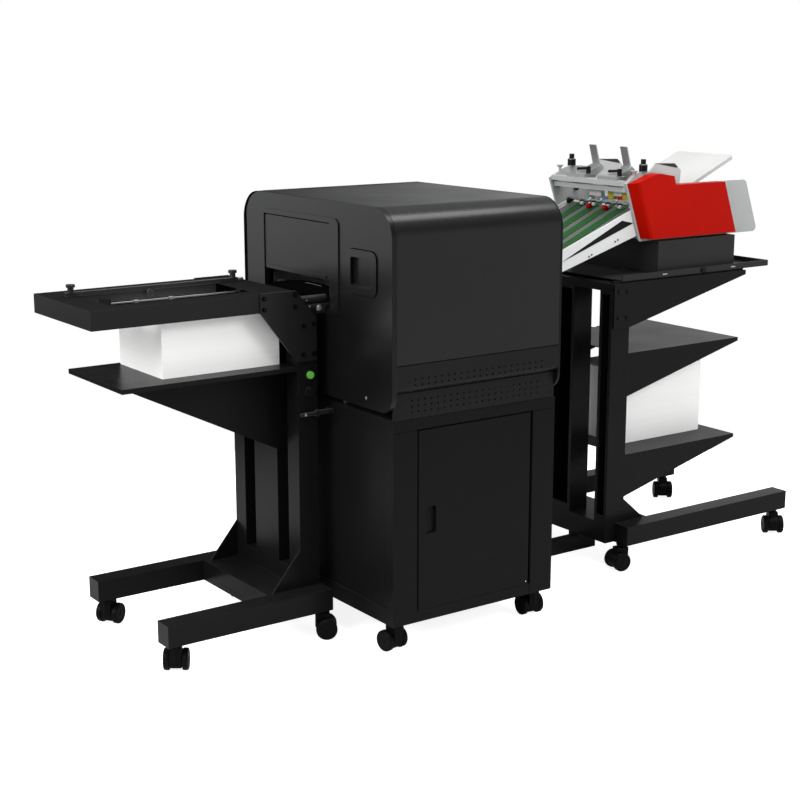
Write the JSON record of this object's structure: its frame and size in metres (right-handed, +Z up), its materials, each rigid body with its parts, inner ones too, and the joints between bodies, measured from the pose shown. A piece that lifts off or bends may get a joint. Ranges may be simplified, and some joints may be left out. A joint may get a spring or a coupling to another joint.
{
  "type": "braille embosser",
  "caption": "Braille embosser on a cabinet, docked between a sheet feeder cart with a sloping conveyor and a stacker cart with a tray and shelf, all on swivel casters.",
  "frame": {"origin": "middle of the footprint's box on the floor", "axes": "+X from the stacker to the feeder along the sheets' way back, +Y from the door side to the back, +Z up"},
  "size_m": [2.667, 0.848, 1.4212],
  "materials": {
    "cabinet_paint": "satin charcoal powder coat",
    "hood_paint": "satin charcoal, fine texture",
    "stand_paint": "semi-matte black powder coat",
    "unit_metal": "milled",
    "roller_steel": "ground",
    "roller_rubber": "matte",
    "drive_paint": "satin grey",
    "box_sheet": "galvanised sheet",
    "start_green": "lit push button",
    "black_plastic": "moulded",
    "latch_steel": "black",
    "cover_red": "smooth red",
    "frame_grey": "satin grey paint",
    "rail_silver": "satin",
    "belt_green": "flat belt",
    "support_white": "frosted white",
    "gate_steel": "galvanised",
    "paper": "uncoated sheets",
    "caster_body": "moulded black",
    "caster_tread": "moulded black"
  },
  "bodies": {
    "machine": {"cabinet_shell": "cabinet_paint", "vent_panel": "cabinet_paint", "chassis_frame": "cabinet_paint", "hood_skirt": "hood_paint", "left_end_panel": "hood_paint", "right_end_panel": "hood_paint", "mechanism_frame": "unit_metal", "drive_unit": "drive_paint", "electronics_box": "box_sheet", "stacker_stand": "stand_paint", "stacker_side_plates": "stand_paint", "stacker_tray": "stand_paint", "stacker_shelf": "stand_paint", "feeder_stand": "stand_paint", "feeder_shelves": "stand_paint", "paper_stacks": "paper"},
    "hood": {"hood_cover": "hood_paint"},
    "door": {"front_door": "cabinet_paint"},
    "flap": {"output_flap": "hood_paint"},
    "emboss": {"emboss_roller": "roller_steel"},
    "counter": {"counter_roller": "roller_steel"},
    "output": {"output_roller": "roller_rubber"},
    "start": {"start_button": "start_green"},
    "stop": {"stop_button": "black_plastic"},
    "latch": {"dock_latch": "latch_steel"},
    "guide": {"tray_guide": "latch_steel"},
    "feeder": {"feeder_carriage": "stand_paint", "feeder_covers": "cover_red", "feeder_side_frames": "frame_grey", "conveyor_frame": "rail_silver", "conveyor_belts": "belt_green", "support_table": "support_white", "feed_gate": "gate_steel"},
    "conveyor_roller": {"belt_roller": "roller_steel"},
    "lever_front": {"clamp_lever_front": "black_plastic"},
    "lever_back": {"clamp_lever_back": "black_plastic"},
    "fork_1": {"caster_fork_1": "caster_body"},
    "wheel_1": {"caster_wheel_1": "caster_tread"},
    "fork_2": {"caster_fork_2": "caster_body"},
    "wheel_2": {"caster_wheel_2": "caster_tread"},
    "fork_3": {"caster_fork_3": "caster_body"},
    "wheel_3": {"caster_wheel_3": "caster_tread"},
    "fork_4": {"caster_fork_4": "caster_body"},
    "wheel_4": {"caster_wheel_4": "caster_tread"},
    "fork_5": {"caster_fork_5": "caster_body"},
    "wheel_5": {"caster_wheel_5": "caster_tread"},
    "fork_6": {"caster_fork_6": "caster_body"},
    "wheel_6": {"caster_wheel_6": "caster_tread"},
    "fork_7": {"caster_fork_7": "caster_body"},
    "wheel_7": {"caster_wheel_7": "caster_tread"},
    "fork_8": {"caster_fork_8": "caster_body"},
    "wheel_8": {"caster_wheel_8": "caster_tread"},
    "fork_9": {"caster_fork_9": "caster_body"},
    "wheel_9": {"caster_wheel_9": "caster_tread"},
    "fork_10": {"caster_fork_10": "caster_body"},
    "wheel_10": {"caster_wheel_10": "caster_tread"},
    "fork_11": {"caster_fork_11": "caster_body"},
    "wheel_11": {"caster_wheel_11": "caster_tread"},
    "fork_12": {"caster_fork_12": "caster_body"},
    "wheel_12": {"caster_wheel_12": "caster_tread"}
  },
  "joints": [
    {"name": "hood_lift", "type": "hinge", "parent": "machine", "child": "hood", "pos_m": [-0.2705, 0.299, 1.3135], "axis": [-1, 0, 0], "range_deg": [0, 65]},
    {"name": "door_swing", "type": "hinge", "parent": "machine", "child": "door", "pos_m": [-0.069, -0.397, 0.4], "axis": [0, 0, 1], "range_deg": [0, 90]},
    {"name": "flap_swing", "type": "hinge", "parent": "machine", "child": "flap", "pos_m": [-0.5825, 0.0765, 1.246], "axis": [0, 1, 0], "range_deg": [0, 85]},
    {"name": "emboss_spin", "type": "hinge", "parent": "machine", "child": "emboss", "pos_m": [-0.2705, 0.0765, 1.065], "axis": [0, 1, 0], "continuous": true},
    {"name": "counter_spin", "type": "hinge", "parent": "machine", "child": "counter", "pos_m": [-0.2705, 0.0765, 0.945], "axis": [0, 1, 0], "continuous": true},
    {"name": "output_spin", "type": "hinge", "parent": "machine", "child": "output", "pos_m": [-0.5325, 0.0765, 1.024], "axis": [0, 1, 0], "continuous": true},
    {"name": "start_press", "type": "slide", "parent": "machine", "child": "start", "axis": [0, 1, 0], "range_m": [0, 0.0015], "stiffness_N_per_m": 400},
    {"name": "stop_press", "type": "slide", "parent": "machine", "child": "stop", "axis": [0, 1, 0], "range_m": [0, 0.0015], "stiffness_N_per_m": 400},
    {"name": "latch_swing", "type": "hinge", "parent": "machine", "child": "latch", "pos_m": [-0.6305, -0.097, 0.69], "axis": [0, -1, 0], "range_deg": [0, 50]},
    {"name": "guide_slide", "type": "slide", "parent": "machine", "child": "guide", "axis": [0, 1, 0], "range_m": [-0.09, 0.04]},
    {"name": "carriage_slide", "type": "slide", "parent": "machine", "child": "feeder", "axis": [1, 0, 0], "range_m": [0, 0.25]},
    {"name": "roller_spin", "type": "hinge", "parent": "feeder", "child": "conveyor_roller", "pos_m": [0.0991, 0.109, 0.9439], "axis": [0, 1, 0], "continuous": true},
    {"name": "lever_front_swing", "type": "hinge", "parent": "feeder", "child": "lever_front", "pos_m": [0.63607, -0.015, 1.34], "axis": [0, 0, 1], "range_deg": [-80, 80]},
    {"name": "lever_back_swing", "type": "hinge", "parent": "feeder", "child": "lever_back", "pos_m": [0.63607, 0.141, 1.34], "axis": [0, 0, 1], "range_deg": [-80, 80]},
    {"name": "swivel_1", "type": "hinge", "parent": "machine", "child": "fork_1", "pos_m": [-1.1345, -0.124, 0.08], "axis": [0, 0, 1], "continuous": true},
    {"name": "wheel_1_spin", "type": "hinge", "parent": "fork_1", "child": "wheel_1", "pos_m": [-1.12188, -0.10598, 0.0325], "axis": [-0.8192, 0.5736, 0], "continuous": true},
    {"name": "swivel_2", "type": "hinge", "parent": "machine", "child": "fork_2", "pos_m": [-0.6485, -0.124, 0.08], "axis": [0, 0, 1], "continuous": true},
    {"name": "wheel_2_spin", "type": "hinge", "parent": "fork_2", "child": "wheel_2", "pos_m": [-0.62945, -0.135, 0.0325], "axis": [0.5, 0.866, 0], "continuous": true},
    {"name": "swivel_3", "type": "hinge", "parent": "machine", "child": "fork_3", "pos_m": [-1.1305, 0.344, 0.08], "axis": [0, 0, 1], "continuous": true},
    {"name": "wheel_3_spin", "type": "hinge", "parent": "fork_3", "child": "wheel_3", "pos_m": [-1.11248, 0.35662, 0.0325], "axis": [-0.5736, 0.8192, 0], "continuous": true},
    {"name": "swivel_4", "type": "hinge", "parent": "machine", "child": "fork_4", "pos_m": [-0.6485, 0.344, 0.08], "axis": [0, 0, 1], "continuous": true},
    {"name": "wheel_4_spin", "type": "hinge", "parent": "fork_4", "child": "wheel_4", "pos_m": [-0.66112, 0.32598, 0.0325], "axis": [0.8192, -0.5736, 0], "continuous": true},
    {"name": "swivel_5", "type": "hinge", "parent": "machine", "child": "fork_5", "pos_m": [-0.5205, -0.354, 0.08], "axis": [0, 0, 1], "continuous": true},
    {"name": "wheel_5_spin", "type": "hinge", "parent": "fork_5", "child": "wheel_5", "pos_m": [-0.52356, -0.33221, 0.0325], "axis": [-0.9903, -0.1392, 0], "continuous": true},
    {"name": "swivel_6", "type": "hinge", "parent": "machine", "child": "fork_6", "pos_m": [0.0015, -0.354, 0.08], "axis": [0, 0, 1], "continuous": true},
    {"name": "wheel_6_spin", "type": "hinge", "parent": "fork_6", "child": "wheel_6", "pos_m": [0.00456, -0.33221, 0.0325], "axis": [-0.9903, 0.1392, 0], "continuous": true},
    {"name": "swivel_7", "type": "hinge", "parent": "machine", "child": "fork_7", "pos_m": [-0.5105, 0.319, 0.08], "axis": [0, 0, 1], "continuous": true},
    {"name": "wheel_7_spin", "type": "hinge", "parent": "fork_7", "child": "wheel_7", "pos_m": [-0.52312, 0.30098, 0.0325], "axis": [0.8192, -0.5736, 0], "continuous": true},
    {"name": "swivel_8", "type": "hinge", "parent": "machine", "child": "fork_8", "pos_m": [-0.0305, 0.319, 0.08], "axis": [0, 0, 1], "continuous": true},
    {"name": "wheel_8_spin", "type": "hinge", "parent": "fork_8", "child": "wheel_8", "pos_m": [-0.04955, 0.33, 0.0325], "axis": [-0.5, -0.866, 0], "continuous": true},
    {"name": "swivel_9", "type": "hinge", "parent": "machine", "child": "fork_9", "pos_m": [0.5505, -0.181, 0.08], "axis": [0, 0, 1], "continuous": true},
    {"name": "wheel_9_spin", "type": "hinge", "parent": "fork_9", "child": "wheel_9", "pos_m": [0.52883, -0.17718, 0.0325], "axis": [-0.1736, -0.9848, 0], "continuous": true},
    {"name": "swivel_10", "type": "hinge", "parent": "machine", "child": "fork_10", "pos_m": [1.2975, -0.181, 0.08], "axis": [0, 0, 1], "continuous": true},
    {"name": "wheel_10_spin", "type": "hinge", "parent": "fork_10", "child": "wheel_10", "pos_m": [1.28488, -0.19902, 0.0325], "axis": [0.8192, -0.5736, 0], "continuous": true},
    {"name": "swivel_11", "type": "hinge", "parent": "machine", "child": "fork_11", "pos_m": [1.2975, 0.391, 0.08], "axis": [0, 0, 1], "continuous": true},
    {"name": "wheel_11_spin", "type": "hinge", "parent": "fork_11", "child": "wheel_11", "pos_m": [1.28488, 0.37298, 0.0325], "axis": [0.8192, -0.5736, 0], "continuous": true},
    {"name": "swivel_12", "type": "hinge", "parent": "machine", "child": "fork_12", "pos_m": [0.5505, 0.391, 0.08], "axis": [0, 0, 1], "continuous": true},
    {"name": "wheel_12_spin", "type": "hinge", "parent": "fork_12", "child": "wheel_12", "pos_m": [0.53788, 0.37298, 0.0325], "axis": [0.8192, -0.5736, 0], "continuous": true}
  ],
  "couplings": [
    {"joint": "counter_spin", "follows": "emboss_spin", "ratio": -1},
    {"joint": "output_spin", "follows": "emboss_spin", "ratio": 3.625}
  ]
}
